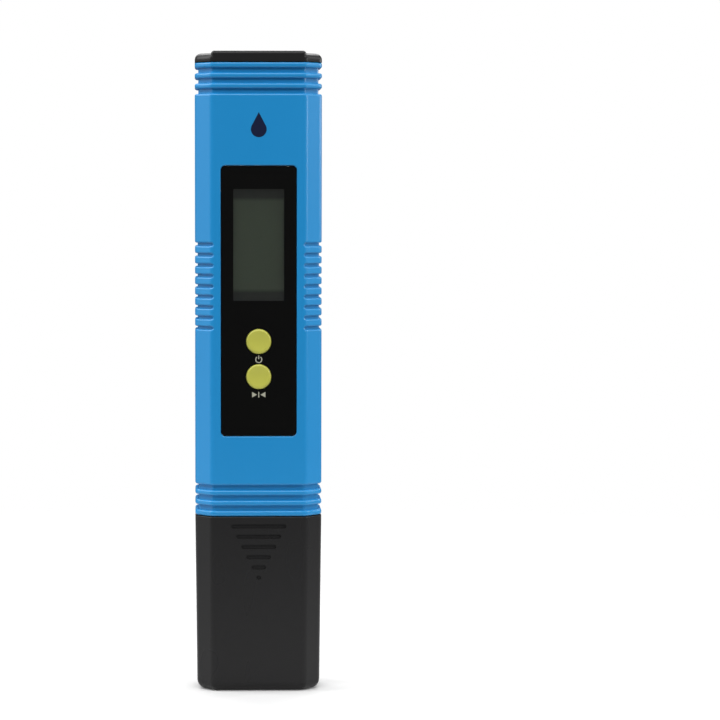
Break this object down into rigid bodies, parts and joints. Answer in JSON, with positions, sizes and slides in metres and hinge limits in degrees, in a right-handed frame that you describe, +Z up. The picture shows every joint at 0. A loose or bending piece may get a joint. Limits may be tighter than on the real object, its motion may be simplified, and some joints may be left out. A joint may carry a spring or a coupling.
{
  "type": "ph test pen",
  "caption": "Pen-type pH tester with a display window, push buttons, a battery drawer in its top, a pocket clip and a glass probe under a pull-off cap.",
  "frame": {"origin": "middle of the cap's flat foot, which the pen stands on", "axes": "+Z up along the pen, the display faces -Y and the pocket clip +Y, +X to the display's right"},
  "size_m": [0.0308, 0.0227, 0.155],
  "materials": {
    "blue_plastic": "satin moulded blue plastic, lightly grained",
    "black_plastic": "satin moulded black plastic",
    "panel_print": "black print behind the lens",
    "clear_lens": "clear acrylic",
    "lcd_cell": "liquid-crystal cell glass",
    "reflector_film": "grey-green reflector film",
    "key_plastic": "semi-gloss olive-yellow plastic",
    "inner_plastic": "plain moulded plastic",
    "board": "solder-masked fibreglass",
    "epoxy": "black potting epoxy",
    "chip_ceramic": "chip component ceramic",
    "steel": "zinc-plated steel",
    "dark_steel": "black-oxide steel",
    "spring_metal": "nickel-plated spring bronze",
    "cell_can": "nickel-plated steel can",
    "rubber": "moulded silicone rubber",
    "wire_cover": "wire insulation",
    "sponge": "open-cell foam",
    "bulb_glass": "thin clear glass",
    "tube_plastic": "dark clear plastic tube",
    "silver": "silver wire",
    "porous_white": "porous white plug"
  },
  "bodies": {
    "housing": {"front_shell": "blue_plastic", "rear_shell": "blue_plastic", "case_screw": "dark_steel", "display_lens": "clear_lens", "panel_mask": "panel_print", "lcd_glass": "lcd_cell", "lcd_reflector": "reflector_film", "lcd_frame": "inner_plastic", "zebra_strips": "rubber", "circuit_board": "board", "board_screws": "steel", "controller_blob": "epoxy", "amplifier_chip": "epoxy", "small_components": "chip_ceramic", "switch_housings": "inner_plastic", "switch_domes": "spring_metal", "switch_covers": "steel", "switch_terminals": "spring_metal", "battery_contact_left": "spring_metal", "battery_contact_right": "spring_metal", "battery_lead_left": "wire_cover", "battery_lead_right": "wire_cover", "probe_holder": "black_plastic", "chamber_lid": "epoxy", "neck_ring": "rubber", "electrode_tube": "tube_plastic", "glass_bulb": "bulb_glass", "bulb_seal": "rubber", "tube_plug": "rubber", "silver_wire": "silver", "reference_junction": "porous_white", "temperature_probe": "steel", "sensor_leads": "wire_cover"},
    "cap": {"protective_cap": "black_plastic", "storage_sponge": "sponge"},
    "drawer": {"battery_drawer": "black_plastic", "drawer_gasket": "rubber", "button_cell_1": "cell_can", "button_cell_2": "cell_can", "button_cell_3": "cell_can", "button_cell_4": "cell_can"},
    "power_button": {"power_button": "key_plastic"},
    "power_plunger": {"power_plunger": "inner_plastic"},
    "calibrate_button": {"calibrate_button": "key_plastic"},
    "calibrate_plunger": {"calibrate_plunger": "inner_plastic"},
    "clip": {"pocket_clip": "black_plastic"}
  },
  "joints": [
    {"name": "cap_pull", "type": "slide", "parent": "cap", "child": "housing", "axis": [0, 0, 1], "range_m": [0, 0.045]},
    {"name": "drawer_pull", "type": "slide", "parent": "housing", "child": "drawer", "axis": [0, 0, 1], "range_m": [0, 0.035]},
    {"name": "power_press", "type": "slide", "parent": "housing", "child": "power_button", "axis": [0, 1, 0], "range_m": [0, 0.0003], "stiffness_N_per_m": 3000},
    {"name": "power_plunger_press", "type": "slide", "parent": "housing", "child": "power_plunger", "axis": [0, 1, 0], "range_m": [0, 0.0003]},
    {"name": "calibrate_press", "type": "slide", "parent": "housing", "child": "calibrate_button", "axis": [0, 1, 0], "range_m": [0, 0.0003], "stiffness_N_per_m": 3000},
    {"name": "calibrate_plunger_press", "type": "slide", "parent": "housing", "child": "calibrate_plunger", "axis": [0, 1, 0], "range_m": [0, 0.0003]},
    {"name": "clip_flex", "type": "hinge", "parent": "housing", "child": "clip", "pos_m": [0, 0.0081, 0.1222], "axis": [1, 0, 0], "range_deg": [0, 4], "stiffness_Nm_per_rad": 2}
  ],
  "couplings": [
    {"joint": "power_plunger_press", "follows": "power_press", "ratio": 1},
    {"joint": "calibrate_plunger_press", "follows": "calibrate_press", "ratio": 1}
  ]
}
